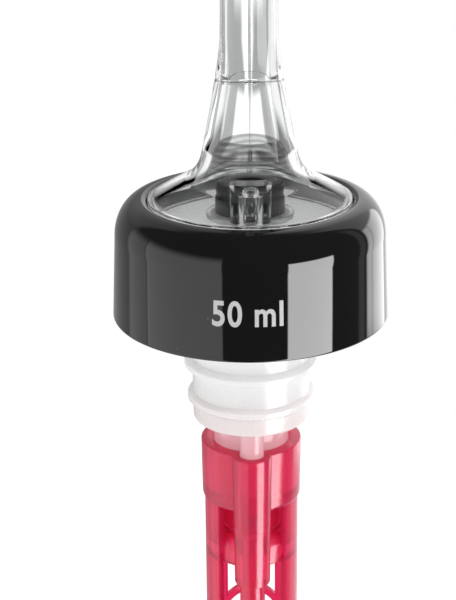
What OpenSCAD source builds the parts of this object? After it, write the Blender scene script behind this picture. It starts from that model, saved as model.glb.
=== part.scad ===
// Measured bottle pourer: a clear spout, a black collar, a finned cork and a red timing tail with balls.
// The origin is at the middle of the seat that rests on the bottle's lip. +Z runs up the spout, and the
// breather tube is on the -Y side. All sizes are in millimetres.

/* [Whole] */
// Length over all, from the end of the tail's plug to the spout's tip
overall_len = 152.5; // [138:0.5:168]

/* [Cork] */
// Diameter of the sleeve just below the flange
sleeve_d = 18.5; // [17.5:0.1:20]
// Taper of the sleeve over its length, on the diameter
sleeve_taper = 0.2; // [0:0.1:1]
// Length of the sleeve below the flange
sleeve_len = 27.3; // [26:0.1:32]
// Diameter of the flange that rests on the bottle's lip
flange_d = 30; // [28.5:0.5:32]
// Thickness of that flange
flange_t = 3; // [2:0.1:4]
// Diameter of the cork's raised top, which fills the hole in the collar's floor
cork_top_d = 27.8; // [27:0.1:28.2]
// Number of sealing fins
fin_count = 4; // [3:1:4]
// Diameter of the topmost fin
fin_top_d = 22.6; // [22:0.1:24]
// How much smaller each fin is than the one above it
fin_drop = 0.9; // [0.5:0.1:1]
// Distance from one fin to the next
fin_pitch = 5.7; // [5:0.1:6]
// Thickness of a fin at its edge
fin_tip_t = 0.8; // [0.6:0.1:1.2]
// Thickness of a fin at its root
fin_root_t = 1.8; // [1.4:0.1:2.4]

/* [Collar] */
// Diameter over the lower rim
rim_d = 42.5; // [40:0.5:48]
// Diameter where the skirt meets the rolled shoulder
shoulder_d = 41.3; // [39:0.5:46]
// Height of the skirt below the bottle's lip
skirt_h = 9.8; // [6:0.2:12]
// Wall of the skirt
skirt_t = 1.9; // [1.2:0.1:3]
// Thickness of the floor that the spout stands on
floor_t = 2; // [1.5:0.1:3]
// Height of the lip around the spout's flange, above the floor
lip_h = 3.7; // [3:0.1:4.5]
// Width of the rounded inner edge of that lip
lip_round = 0.9; // [0.5:0.1:1.2]
// Rounding of the lower rim
rim_round = 0.4; // [0.2:0.1:0.8]

/* [Spout] */
// Diameter of the flange
spout_flange_d = 31; // [29:0.5:33]
// Height of the flange's edge
spout_edge_h = 3.9; // [3.2:0.1:4.5]
// Slope of the flange's cone, in degrees from flat
cone_slope = 27.5; // [24:0.5:31]
// Diameter where the cone runs into the fillet
fillet_d = 20; // [19:0.5:22]
// Diameter of the neck at its root
neck_root_d = 14.4; // [14:0.1:15.5]
// Height of that root above the floor
neck_root_h = 10.8; // [10.4:0.1:12]
// Diameter at the top of the neck
neck_top_d = 9.5; // [9:0.1:10]
// Height of the neck's top above the floor
neck_top_h = 24.2; // [23:0.1:26]
// Diameter where the slim tube begins
tube_d = 8.6; // [8.2:0.1:9]
// Height of the slim tube's start above the floor
tube_h = 28.3; // [27.5:0.1:30]
// Diameter at the tip
tip_d = 7.5; // [7.2:0.1:8]
// Slant of the tip, in degrees
tip_slant = 35; // [0:5:45]
// Wall of the hollow foot, along its cone and its flare
bell_wall = 1.6; // [1.2:0.1:2]
// Width of the foot's rim, which stands on the collar's floor
bell_rim_w = 1.5; // [1.2:0.1:2]
// Height of the slope between the hollow and the pour channel
bell_slope_h = 1.8; // [1.4:0.1:2.2]
// Diameter of the pour channel where it leaves the hollow
channel_root_d = 8.8; // [8.4:0.1:9.2]
// Height where the pour channel leaves the hollow, above the floor
channel_root_h = 13; // [12.6:0.1:13.6]
// Diameter of the pour channel in the slim tube
channel_d = 6.5; // [5.5:0.1:6.6]
// Diameter of the pour channel at the tip
channel_tip_d = 5.9; // [5:0.1:6.2]
// Height of the step in the channel, above the floor
channel_step_h = 21.6; // [20:0.1:23]
// Width of that step, on the radius
channel_ledge = 0.2; // [0.1:0.05:0.4]

/* [Stem and cage] */
// How far the stem and the tail sit behind the spout's axis
stem_back = 1.3; // [1.2:0.1:1.5]
// Outside diameter of the stem
stem_d = 12; // [11.6:0.1:12.4]
// Bore of the stem below its ball seat
stem_bore_d = 8.4; // [7:0.1:8.6]
// Bore of the stem at its ball seat
seat_bore_d = 5; // [4.6:0.1:5.4]
// Length of the bore at that seat
seat_bore_len = 3.3; // [2:0.1:5]
// Diameter of the stem's head
stem_head_d = 13.4; // [13:0.1:14.4]
// Thickness of the stem's head
stem_head_t = 0.8; // [0.6:0.1:1.2]
// Diameter of the ball in the spout's foot
spout_ball_d = 6; // [5.6:0.1:6.4]
// How far that ball lifts
spout_ball_lift = 1.2; // [0.8:0.1:1.6]
// Outside diameter of the ball cage
cage_d = 10.6; // [10:0.1:10.8]
// Wall of the ball cage
cage_t = 0.8; // [0.6:0.05:0.9]
// Diameter of the outlet in the cage's roof
cage_outlet_d = 5; // [4.4:0.1:5.2]
// Height of the sill under the cage's windows
cage_sill_h = 0.5; // [0.4:0.1:1]
// Width of the cage's arched windows
cage_window_w = 5; // [4:0.2:5.2]

/* [Breather] */
// Outside diameter of the breather tube
breather_d = 3.8; // [3.4:0.1:3.8]
// Bore of the breather tube
breather_bore_d = 2.2; // [1.6:0.1:2.4]
// Distance of the breather tube in front of the spout's axis
breather_front = 5.9; // [5.8:0.05:6.1]
// Depth of the breather tube in the boss
breather_depth = 6.35; // [5:0.05:7]
// Diameter of the breather ball
breather_ball_d = 3.175; // [2.8:0.005:3.2]
// How far the breather ball lifts
breather_ball_lift = 4.1; // [2:0.1:5]
// Diameter of the column in the spout's foot, above the breather tube
column_d = 6; // [5.6:0.1:6.4]
// Bore of that column, and width of the groove that lets air into it
vent_w = 2.4; // [2:0.1:2.6]
// Height of that groove
vent_h = 0.8; // [0.6:0.1:1]
// Thickness of the column's roof over its bore
column_roof_t = 0.9; // [0.6:0.1:1.4]

/* [Tail] */
// Depth of the stem in the cup
cup_depth = 8.15; // [7:0.05:9]
// Gap between the cork's end and the cup's rim
cup_gap = 4.35; // [3:0.05:6]
// Wall of the cup
cup_t = 1.95; // [1.5:0.05:2.3]
// Thickness of the cup's floor
cup_floor_t = 2.1; // [1.5:0.1:3]
// Diameter of the neck under the cup
tail_neck_d = 9.74; // [9:0.02:10.4]
// Length of that neck
tail_neck_len = 5.6; // [5:0.1:7]
// Bore of that neck, which is the metering ball's seat
tail_bore_d = 6.4; // [5.5:0.1:7]
// Diameter of the metering ball
metering_ball_d = 9.525; // [9.2:0.005:9.8]
// How far the metering ball travels
metering_ball_lift = 27.4; // [22:0.1:34]
// Wall of the dome around the metering ball
dome_t = 1.6; // [1.4:0.1:1.8]
// Outside diameter over the legs
leg_d = 15.1; // [14.6:0.1:15.6]
// Wall of the legs
leg_t = 1.1; // [0.9:0.05:1.3]
// Half of the front window, in degrees
front_window = 46; // [40:1:52]
// Half of the rear window, in degrees
rear_window = 38; // [30:1:44]
// Height of the rear web's arch below the dome's rim
web_drop = 10.6; // [8:0.1:13]
// Thickness of the rear web
web_t = 1.4; // [1:0.1:2]
// Length of the timing chamber
chamber_len = 16.7; // [14:0.1:22]
// Wall of the timing chamber
chamber_t = 1.4; // [1:0.1:1.8]
// Diameter of the breather boss at its top
boss_d = 6.26; // [5.8:0.02:6.6]
// Diameter of the breather boss at its lower end
boss_end_d = 5.66; // [5.2:0.02:6]
// Length of the breather boss
boss_len = 22.65; // [21.5:0.05:24]
// Diameter of the snorkel below the boss
snorkel_d = 4; // [3.6:0.1:4.4]
// Bore of the snorkel
snorkel_bore_d = 2; // [1.4:0.1:2.2]
// Length of the snorkel
snorkel_len = 25.7; // [20:0.1:28]
// Length of the plug in the chamber
plug_len = 3.2; // [2:0.1:4]
// Thickness of the plug's head
plug_head_t = 1.2; // [0.8:0.1:2]
// Diameter of the timing port
port_d = 1.6; // [1:0.1:2.4]

/* [Fits] */
// Gap on the radius between pieces that push together
fit_gap = 0.05; // [0.02:0.01:0.1]
// Gap on the radius between the spout's flange and the collar's lip
lip_gap = 0.25; // [0.1:0.05:0.5]
// Gap around a loose ball
ball_gap = 0.3; // [0.25:0.05:0.4]

/* [Hidden] */
$fn = 96;
// A small overshoot that keeps cuts clear of the faces they pass
cut = 0.5;
// Segments in a curved stretch of an outline
steps = 10;
// Angles, in degrees
quarter_turn = 90;
half_turn = 2 * quarter_turn;

// Heights from the bottle's lip up
floor_z = flange_t + floor_t;
lip_z = floor_z + lip_h;
head_z = floor_z + stem_head_t;

// Heights from the bottle's lip down
rim_z = -skirt_h;
cup_z = -sleeve_len - cup_gap;
cup_floor_z = cup_z - cup_depth;
cup_end_z = cup_floor_z - cup_floor_t;
dome_z = cup_end_z - tail_neck_len;

// The metering ball's seat, from the neck's bore out to the chamber's bore
chamber_d = metering_ball_d + 2 * ball_gap;
seat_angle = 52;
seat_h = (chamber_d - tail_bore_d) / 2 * tan(seat_angle);
seat_z = dome_z;
// Height of the ball's middle under a cone of this angle, measured from the cone's narrow circle
function under_cone(ball_r, bore_r, angle) = (ball_r - bore_r * sin(angle)) / cos(angle);
metering_top_z = seat_z - under_cone(chamber_d / 2, tail_bore_d / 2, seat_angle);
metering_rest_z = metering_top_z - metering_ball_lift;
dome_round = 2.6;
dome_side = 2.1;
dome_d = chamber_d + 2 * dome_t;
dome_end_z = dome_z - dome_round - dome_side;
plug_top_z = metering_rest_z - metering_ball_d / 2 - ball_gap;
chamber_end_z = plug_top_z - plug_len;
plug_end_z = chamber_end_z - plug_head_t;
chamber_top_z = chamber_end_z + chamber_len;
leg_end_z = chamber_top_z - chamber_len / 2;
// The chamber's outside always reaches the legs that carry it
chamber_out_d = max(chamber_d + 2 * chamber_t, leg_d - 2 * leg_t + fit_gap);
web_r = 6.5;
web_z = dome_end_z - web_drop - web_r;

// The breather's ball chamber in the boss
breather_y = -breather_front;
breather_end_z = cup_z - breather_depth;
socket_d = breather_d + 2 * fit_gap;
breather_seat_angle = 52;
breather_top_z = breather_end_z - ball_gap - breather_ball_d / 2;
breather_rest_z = breather_top_z - breather_ball_lift;
breather_seat_z = breather_rest_z
    - under_cone(breather_ball_d / 2 + ball_gap, snorkel_bore_d / 2, breather_seat_angle);
breather_seat_h = (socket_d - snorkel_bore_d) / 2 * tan(breather_seat_angle);
boss_end_z = cup_z - boss_len;
snorkel_end_z = boss_end_z - snorkel_len;

// The spout ball's seat in the stem's head, and the cage above it
cage_bore_d = cage_d - 2 * cage_t;
spout_seat_angle = 56;
spout_seat_h = (cage_bore_d - seat_bore_d) / 2 * tan(spout_seat_angle);
spout_seat_z = head_z - spout_seat_h;
spout_rest_z = spout_seat_z + under_cone(spout_ball_d / 2 + ball_gap, seat_bore_d / 2, spout_seat_angle);
cage_roof_z = spout_rest_z + spout_ball_lift + spout_ball_d / 2 + ball_gap;
cage_roof_t = 0.7;
cage_top_z = cage_roof_z + cage_roof_t;

// The spout's outline
tip_z = plug_end_z + overall_len;
flange_edge = [spout_flange_d / 2, floor_z + spout_edge_h];
cone_rate = -1 / tan(cone_slope);
fillet_start = [fillet_d / 2, flange_edge.y + (flange_edge.x - fillet_d / 2) * tan(cone_slope)];
neck_root = [neck_root_d / 2, floor_z + neck_root_h];
neck_top = [neck_top_d / 2, floor_z + neck_top_h];
tube_start = [tube_d / 2, floor_z + tube_h];
tip = [tip_d / 2, tip_z];
root_rate = -0.207;
top_rate = -0.156;
tube_rate = (tip.x - tube_start.x) / (tip.y - tube_start.y);

// The hollow in the spout's foot, which runs along the cone and the flare outside
bell_r = spout_flange_d / 2 - bell_rim_w;
bell_drop = bell_wall / cos(cone_slope);
function bell_roof(r) = flange_edge.y - bell_drop + (flange_edge.x - r) * tan(cone_slope);
root_lean = atan(-root_rate);
bell_fillet = fillet_start - bell_wall * [sin(cone_slope), cos(cone_slope)];
bell_root = neck_root - bell_wall * [cos(root_lean), sin(root_lean)];
channel_root_z = floor_z + channel_root_h;
bell_top_z = channel_root_z - bell_slope_h;
bell_top_r = bell_root.x + root_rate * (bell_top_z - bell_root.y);
column_top_z = bell_roof(breather_front);

// Where two lines of radius against height cross, each given by a point and a rate
function meet(p, p_rate, q, q_rate) =
    let (z = (q.x - p.x + p_rate * p.y - q_rate * q.y) / (p_rate - q_rate))
    [p.x + p_rate * (z - p.y), z];
// A smooth curve from p to q that leaves and arrives along those lines
function blend(p, p_rate, q, q_rate) =
    let (m = meet(p, p_rate, q, q_rate))
    [for (i = [0 : steps]) let (t = i / steps) (1 - t) * (1 - t) * p + 2 * t * (1 - t) * m + t * t * q];
// A quarter of an ellipse around a middle point, from one angle to another
function sweep(middle, a, b, from, to) =
    [for (i = [0 : steps]) let (w = from + (to - from) * i / steps)
        [middle.x + a * cos(w), middle.y + b * sin(w)]];

module at_stem() {
    translate([0, stem_back, 0]) children();
}

module at_breather() {
    translate([0, breather_y, 0]) children();
}

// A round bar between two heights
module bar(d, low, high) {
    translate([0, 0, low]) cylinder(d = d, h = high - low);
}

// A round bar that changes diameter between two heights
module taper(low_d, high_d, low, high) {
    translate([0, 0, low]) cylinder(d1 = low_d, d2 = high_d, h = high - low);
}

// The passage that the stem and the breather tube share in the cork
module passage(low, high) {
    at_stem() bar(stem_d + 2 * fit_gap, low, high);
    at_breather() bar(socket_d, low, high);
}

module spout_body() {
    edge_round = 0.3;
    rotate_extrude() polygon(concat(
        [[0, floor_z], [flange_edge.x - edge_round, floor_z], [flange_edge.x, floor_z + edge_round]],
        [[flange_edge.x, flange_edge.y - edge_round], [flange_edge.x - edge_round, flange_edge.y]],
        blend(fillet_start, cone_rate, neck_root, root_rate),
        blend(neck_root, root_rate, neck_top, top_rate),
        blend(neck_top, top_rate, tube_start, tube_rate),
        [tip, [0, tip_z]]
    ));
}

// The hollow that the ball cage stands in
module bell() {
    rotate_extrude() polygon(concat(
        [[0, floor_z - cut], [bell_r, floor_z - cut], [bell_r, bell_roof(bell_r)]],
        blend(bell_fillet, cone_rate, bell_root, root_rate),
        [[bell_top_r, bell_top_z], [channel_root_d / 2, channel_root_z], [0, channel_root_z]]
    ));
}

// The channel leaves the hollow and runs in two tapers that meet at a small step
module pour_channel() {
    step_z = floor_z + channel_step_h;
    lower_d = channel_d - 2 * channel_ledge;
    bar(channel_root_d, channel_root_z - fit_gap, channel_root_z);
    taper(channel_root_d, lower_d, channel_root_z, step_z + fit_gap);
    bar(channel_d, step_z, floor_z + tube_h);
    taper(channel_d, channel_tip_d, floor_z + tube_h, tip_z);
    bar(channel_tip_d, tip_z - cut, tip_z + cut);
}

module spout() {
    slant_size = 4 * tip_d;
    color("whitesmoke") difference() {
        union() {
            difference() {
                spout_body();
                bell();
                pour_channel();
            }
            at_breather() bar(column_d, floor_z, column_top_z);
        }
        at_stem() bar(cage_d + 2 * fit_gap, floor_z - cut, column_top_z + cut);
        at_stem() bar(stem_head_d + 2 * fit_gap, floor_z - cut, head_z + fit_gap);
        at_breather() bar(vent_w, floor_z - cut, column_top_z - column_roof_t);
        translate([-vent_w / 2, -spout_flange_d, floor_z - cut])
            cube([vent_w, spout_flange_d - breather_front, vent_h + cut]);
        translate([0, -tip_d / 2, tip_z]) rotate([-tip_slant, 0, 0])
            translate([-slant_size / 2, -slant_size / 2, 0]) cube(slant_size);
    }
}

module collar() {
    well_r = spout_flange_d / 2 + lip_gap;
    hole_r = cork_top_d / 2 + fit_gap;
    crown = [well_r + lip_round, lip_z];
    shoulder_a = shoulder_d / 2 - crown.x;
    shoulder_b = lip_z - flange_t;
    inner_rim_r = rim_d / 2 - skirt_t;
    inner_top_r = shoulder_d / 2 - skirt_t;
    roof_round = 2;
    color("#141414") rotate_extrude() polygon(concat(
        [[hole_r, flange_t], [inner_top_r - roof_round, flange_t]],
        sweep([inner_top_r - roof_round, flange_t - roof_round], roof_round, roof_round, 90, 0),
        [[inner_rim_r, rim_z], [rim_d / 2 - rim_round, rim_z]],
        sweep([rim_d / 2 - rim_round, rim_z + rim_round], rim_round, rim_round, -90, 0),
        sweep([crown.x, flange_t], shoulder_a, shoulder_b, 0, 90),
        sweep([crown.x, lip_z - lip_round / 2], lip_round, lip_round / 2, 90, 180),
        [[well_r, floor_z], [hole_r, floor_z]]
    ));
}

// One sealing fin, a ring that is thinner at its edge than at its root
module fin(edge_d, middle_z, root_r) {
    rotate_extrude() polygon([
        [root_r, middle_z - fin_root_t / 2],
        [edge_d / 2, middle_z - fin_tip_t / 2],
        [edge_d / 2, middle_z + fin_tip_t / 2],
        [root_r, middle_z + fin_root_t / 2]
    ]);
}

module cork() {
    end_r = (sleeve_d - sleeve_taper) / 2;
    end_round = 0.6;
    last_fin_rise = 3.8;
    first_fin_z = -sleeve_len + last_fin_rise + (fin_count - 1) * fin_pitch;
    root_r = end_r - end_round;
    flange_round = 0.5;
    color("#f4f4f2") difference() {
        union() {
            rotate_extrude() polygon(concat(
                [[0, -sleeve_len], [end_r - end_round, -sleeve_len]],
                sweep([end_r - end_round, end_round - sleeve_len], end_round, end_round, -90, 0),
                [[sleeve_d / 2, 0], [flange_d / 2 - flange_round, 0]],
                sweep([flange_d / 2 - flange_round, flange_round], flange_round, flange_round, -90, 0),
                [[flange_d / 2, flange_t], [cork_top_d / 2, flange_t], [cork_top_d / 2, floor_z], [0, floor_z]]
            ));
            for (i = [0 : fin_count - 1])
                fin(fin_top_d - i * fin_drop, first_fin_z - i * fin_pitch, root_r);
        }
        passage(-sleeve_len - cut, floor_z + cut);
    }
}

module stem() {
    widen = stem_bore_d - seat_bore_d;
    throat_z = spout_seat_z - seat_bore_len;
    color("gainsboro") difference() {
        at_stem() union() {
            bar(stem_d, cup_floor_z, floor_z);
            bar(stem_head_d, floor_z, head_z);
        }
        at_stem() {
            taper(seat_bore_d, cage_bore_d, spout_seat_z, head_z);
            bar(cage_bore_d, head_z, head_z + cut);
            bar(seat_bore_d, throat_z, spout_seat_z);
            taper(stem_bore_d, seat_bore_d, throat_z - widen, throat_z);
            bar(stem_bore_d, cup_floor_z - cut, throat_z - widen);
        }
        at_breather() bar(socket_d, cup_floor_z - cut, floor_z);
        at_breather() bar(vent_w, floor_z - cut, head_z + cut);
    }
}

// A round cage with an arched window at the front and another at the back
module ball_cage() {
    sill_z = head_z + cage_sill_h;
    arch_r = cage_window_w / 2;
    arch_z = max(cage_roof_z - cage_roof_t - arch_r, sill_z);
    color("#1c1c1c") at_stem() difference() {
        bar(cage_d, head_z, cage_top_z);
        bar(cage_bore_d, head_z - cut, cage_roof_z);
        bar(cage_outlet_d, cage_roof_z - cut, cage_top_z + cut);
        translate([0, cage_d, 0]) rotate([quarter_turn, 0, 0]) linear_extrude(2 * cage_d) polygon(concat(
            [[-arch_r, sill_z], [arch_r, sill_z]],
            sweep([0, arch_z + fit_gap], arch_r, arch_r, 0, half_turn)
        ));
    }
}

module spout_ball() {
    color("silver") at_stem() translate([0, 0, spout_rest_z]) sphere(d = spout_ball_d);
}

module breather_tube() {
    color("ghostwhite") at_breather() difference() {
        bar(breather_d, breather_end_z, floor_z - fit_gap);
        bar(breather_bore_d, breather_end_z - cut, floor_z + cut);
    }
}

module breather_ball() {
    color("silver") at_breather() translate([0, 0, breather_rest_z]) sphere(d = breather_ball_d);
}

// The cup, the neck and the dome in one turned outline
module tail_body() {
    cup_r = stem_d / 2 + fit_gap + cup_t;
    cup_draft = 0.1;
    cup_round = 0.9;
    neck_r = tail_neck_d / 2;
    dome_r = dome_d / 2;
    rotate_extrude() polygon(concat(
        [[0, dome_end_z], [dome_r, dome_end_z], [dome_r, dome_z - dome_round]],
        sweep([neck_r, dome_z - dome_round], dome_r - neck_r, dome_round, 0, 90),
        [[neck_r, cup_end_z]],
        sweep([cup_r - cup_draft - cup_round, cup_end_z + cup_round], cup_round, cup_round, -90, 0),
        [[cup_r, cup_z], [0, cup_z]]
    ));
}

// The two legs are the parts of one tube that the front and the rear windows leave
module legs() {
    inner_r = leg_d / 2 - leg_t;
    leg_top_z = cup_end_z + cup_floor_t / 2;
    span = half_turn - front_window - rear_window;
    for (from = [front_window - quarter_turn, rear_window + quarter_turn])
        rotate([0, 0, from]) rotate_extrude(angle = span)
            translate([inner_r, leg_end_z]) square([leg_t, leg_top_z - leg_end_z]);
}

// An arched strip that ties the legs together at the back
module rear_web() {
    depth = leg_d;
    intersection() {
        difference() {
            bar(leg_d, web_z, dome_end_z);
            bar(leg_d - 2 * leg_t, web_z - cut, dome_end_z + cut);
        }
        translate([0, 0, web_z]) rotate([-quarter_turn, 0, 0]) difference() {
            cylinder(r = web_r, h = depth);
            translate([0, 0, -cut]) cylinder(r = web_r - web_t, h = depth + 2 * cut);
        }
    }
}

module tail() {
    color("#c8203c") difference() {
        union() {
            at_stem() tail_body();
            at_stem() legs();
            at_stem() rear_web();
            at_stem() bar(chamber_out_d, chamber_end_z, chamber_top_z);
            at_breather() taper(boss_end_d, boss_d, boss_end_z, cup_z);
            at_breather() bar(snorkel_d, snorkel_end_z, boss_end_z);
        }
        at_stem() {
            bar(stem_d + 2 * fit_gap, cup_floor_z, cup_z + cut);
            bar(tail_bore_d, seat_z - cut, cup_floor_z + cut);
            taper(chamber_d, tail_bore_d, seat_z - seat_h, seat_z);
            bar(chamber_d, chamber_end_z - cut, seat_z - seat_h);
        }
        at_breather() {
            bar(socket_d, breather_seat_z + breather_seat_h, cup_z + cut);
            taper(snorkel_bore_d, socket_d, breather_seat_z, breather_seat_z + breather_seat_h);
            bar(snorkel_bore_d, snorkel_end_z - cut, breather_seat_z);
        }
    }
}

module metering_ball() {
    color("silver") at_stem() translate([0, 0, metering_rest_z]) sphere(d = metering_ball_d);
}

module tail_plug() {
    color("#a01830") at_stem() difference() {
        union() {
            bar(chamber_d - 2 * fit_gap, chamber_end_z, plug_top_z);
            bar(chamber_out_d, plug_end_z, chamber_end_z);
        }
        bar(port_d, plug_end_z - cut, plug_top_z + cut);
    }
}

spout();
collar();
cork();
stem();
ball_cage();
spout_ball();
breather_tube();
breather_ball();
tail();
metering_ball();
tail_plug();
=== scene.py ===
"""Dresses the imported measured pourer: smooth turned surfaces, moulded plastics, steel balls and a studio."""

import functools
import math

import bmesh
import bpy
import numpy as np
from mathutils import Matrix, Vector


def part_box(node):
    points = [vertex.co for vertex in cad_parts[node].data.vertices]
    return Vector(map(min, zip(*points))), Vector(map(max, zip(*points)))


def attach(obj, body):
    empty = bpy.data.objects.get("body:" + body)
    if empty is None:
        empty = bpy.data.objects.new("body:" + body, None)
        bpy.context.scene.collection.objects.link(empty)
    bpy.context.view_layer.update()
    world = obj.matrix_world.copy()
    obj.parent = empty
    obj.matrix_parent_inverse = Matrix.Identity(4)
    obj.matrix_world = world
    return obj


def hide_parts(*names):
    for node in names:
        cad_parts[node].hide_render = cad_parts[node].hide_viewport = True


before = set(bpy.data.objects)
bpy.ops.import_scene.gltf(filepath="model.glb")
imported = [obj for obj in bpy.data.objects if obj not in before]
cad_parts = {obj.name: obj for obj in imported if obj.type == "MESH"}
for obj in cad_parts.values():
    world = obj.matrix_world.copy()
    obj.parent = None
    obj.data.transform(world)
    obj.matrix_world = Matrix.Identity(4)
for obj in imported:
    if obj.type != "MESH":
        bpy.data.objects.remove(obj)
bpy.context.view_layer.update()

bl_info = {
    "name": "Measured Pourer",
    "version": (1, 0, 0),
    "blender": (4, 5, 0),
    "location": "View3D > Sidebar > Pourer",
    "description": "Surfaces, finishes and studio for a measured bottle pourer",
    "category": "Object",
}

MM = 0.001

# Heights and radii of the solids, in millimetres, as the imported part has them
FLOOR_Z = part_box("spout")[0].z / MM
TIP_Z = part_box("spout")[1].z / MM
LIP_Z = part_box("collar")[1].z / MM
RIM_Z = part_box("collar")[0].z / MM
RIM_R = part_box("collar")[1].x / MM
CORK_END_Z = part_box("cork")[0].z / MM
HEAD_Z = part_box("stem")[1].z / MM
STEM_END_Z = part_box("stem")[0].z / MM
CAGE_TOP_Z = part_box("ball_cage")[1].z / MM
TUBE_TOP_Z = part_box("breather_tube")[1].z / MM
TUBE_END_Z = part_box("breather_tube")[0].z / MM
CUP_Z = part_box("tail")[1].z / MM
CHAMBER_END_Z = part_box("tail")[0].z / MM
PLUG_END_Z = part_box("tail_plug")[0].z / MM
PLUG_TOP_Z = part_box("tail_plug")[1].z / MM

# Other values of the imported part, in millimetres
SEAT_Z = 0.0
FLANGE_Z = 3.0
RIM_ROUND = 0.4
SHOULDER_R = 20.65
STEM_AXIS = (0.0, 1.3)
BREATHER_AXIS = (0.0, -5.9)
SPOUT_AXIS = (0.0, 0.0)
STEM_R = 6.0
HEAD_R = 6.7
CAGE_R = 5.3
SOCKET_R = 1.95
VENT_R = 1.2
FIT = 0.05
CUP_FLOOR_Z = -39.8
CUP_END_Z = -41.9
DOME_Z = -47.5
DOME_END_Z = -52.2
CHAMBER_R = 5.0625
CHAMBER_TOP_Z = -70.59
LEG_R = 7.55
LEG_T = 1.1
BOSS_END_Z = -54.3
SNORKEL_END_Z = -80.0
BREATHER_SEAT_Z = -45.77

# The mould's witness line round the spout's neck, and how far it drops at the sides
WITNESS_Z = 27.6
WITNESS_DROP = 0.7

# How far a cutter runs past the face that it cuts
PAST = 1.0

FULL_TURN = np.linspace(0.0, 2.0 * np.pi, 192, endpoint=False)
FRONT = -np.pi / 2.0
BACK = np.pi / 2.0


class PourerSizes(bpy.types.PropertyGroup):
    """Sizes that belong to the dressing and not to the solids"""

    print_width: bpy.props.FloatProperty(
        name="Print width", description="Width of the printed measure along the collar",
        default=0.0104, min=0.004, max=0.02, unit="LENGTH")
    print_height: bpy.props.FloatProperty(
        name="Print height", description="Height of the printed measure's figures",
        default=0.0039, min=0.002, max=0.006, unit="LENGTH")
    print_middle: bpy.props.FloatProperty(
        name="Print middle", description="Height of the print's middle above the bottle's lip",
        default=-0.0024, min=-0.008, max=0.0, unit="LENGTH")
    seam: bpy.props.FloatProperty(
        name="Parting seam", description="How far the mould's parting line stands proud of the spout",
        default=0.00005, min=0.0, max=0.0002, unit="LENGTH")
    floor_radius: bpy.props.FloatProperty(
        name="Floor radius", description="Radius of the pale floor under the part",
        default=0.14, min=0.1, max=1.0, unit="LENGTH")


class PourerColours(bpy.types.PropertyGroup):
    """Colours of the plastics, the steel and the print"""

    clear: bpy.props.FloatVectorProperty(
        name="Clear plastic", description="Tint of the spout, the stem and the breather tube",
        default=(0.965, 0.972, 0.972), size=3, min=0.0, max=1.0, subtype="COLOR")
    black: bpy.props.FloatVectorProperty(
        name="Black plastic", description="Colour of the collar",
        default=(0.0035, 0.0035, 0.004), size=3, min=0.0, max=1.0, subtype="COLOR")
    cage: bpy.props.FloatVectorProperty(
        name="Cage plastic", description="Colour of the ball cage",
        default=(0.042, 0.042, 0.043), size=3, min=0.0, max=1.0, subtype="COLOR")
    stopper: bpy.props.FloatVectorProperty(
        name="Stopper plastic", description="Colour of the finned stopper",
        default=(0.9, 0.9, 0.895), size=3, min=0.0, max=1.0, subtype="COLOR")
    red: bpy.props.FloatVectorProperty(
        name="Red plastic", description="Colour of the timing tail and its plug",
        default=(0.97, 0.045, 0.17), size=3, min=0.0, max=1.0, subtype="COLOR")
    steel: bpy.props.FloatVectorProperty(
        name="Steel", description="Colour of the three balls",
        default=(0.66, 0.66, 0.67), size=3, min=0.0, max=1.0, subtype="COLOR")
    ink: bpy.props.FloatVectorProperty(
        name="Print", description="Colour of the printed measure",
        default=(0.5, 0.5, 0.5), size=3, min=0.0, max=1.0, subtype="COLOR")


class PourerStudio(bpy.types.PropertyGroup):
    """Light of the studio"""

    fill: bpy.props.FloatProperty(
        name="Fill", description="Strength of the even light from all round",
        default=1.0, min=0.0, max=2.0)
    key: bpy.props.FloatProperty(
        name="Key", description="Power of the soft lamp at the front right",
        default=1.0, min=0.0, max=20.0, unit="POWER")


# Outlines


def arc(middle, a, b, start, stop, count):
    """Part of an ellipse: (middle x + a cos w, middle y + b sin w) for w from start to stop, in degrees."""
    w = np.radians(np.linspace(start, stop, count))
    return np.stack([middle[0] + a * np.cos(w), middle[1] + b * np.sin(w)], -1)


def bend(p, p_rate, q, q_rate, count=40):
    """Quadratic curve from p to q. Its middle point is where the two end lines meet, each a radius that changes
    with height at the given rate."""
    z = (q[0] - p[0] + p_rate * p[1] - q_rate * q[1]) / (p_rate - q_rate)
    m = np.array([p[0] + p_rate * (z - p[1]), z])
    t = np.linspace(0.0, 1.0, count)[:, None]
    return (1 - t) ** 2 * np.array(p) + 2 * t * (1 - t) * m + t ** 2 * np.array(q)


def rounded(points, radii, count=7):
    """Closed outline whose corners are arcs: each arc touches both sides, at radius / tan(half the corner)."""
    points = np.asarray(points, float)
    radii = np.broadcast_to(np.asarray(radii, float), len(points))
    parts = []
    for p, before, after, radius in zip(points, np.roll(points, 1, 0), np.roll(points, -1, 0), radii):
        if radius <= 0.0:
            parts.append(p[None])
            continue
        u = (before - p) / np.linalg.norm(before - p)
        v = (after - p) / np.linalg.norm(after - p)
        half = np.arccos(np.clip(u @ v, -1.0, 1.0)) / 2.0
        middle = p + (u + v) / np.linalg.norm(u + v) * radius / np.sin(half)
        first = p + u * radius / np.tan(half) - middle
        last = p + v * radius / np.tan(half) - middle
        turn = np.pi - 2.0 * half
        t = np.linspace(0.0, 1.0, count)[:, None]
        parts.append(middle + (np.sin((1 - t) * turn) * first + np.sin(t * turn) * last) / np.sin(turn))
    return np.concatenate(parts)


# Surfaces


def turned(profile, middle=SPOUT_AXIS, angles=FULL_TURN):
    """Grid of a profile carried round an upright axis: x = middle x + r cos a, y = middle y + r sin a, z = h."""
    profile = np.asarray(profile, float)
    radius = profile[:, 0, None]
    height = profile[:, 1, None]
    x = middle[0] + radius * np.cos(angles)[None]
    y = middle[1] + radius * np.sin(angles)[None]
    return np.stack([x, y, np.broadcast_to(height, x.shape)], -1)


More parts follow.
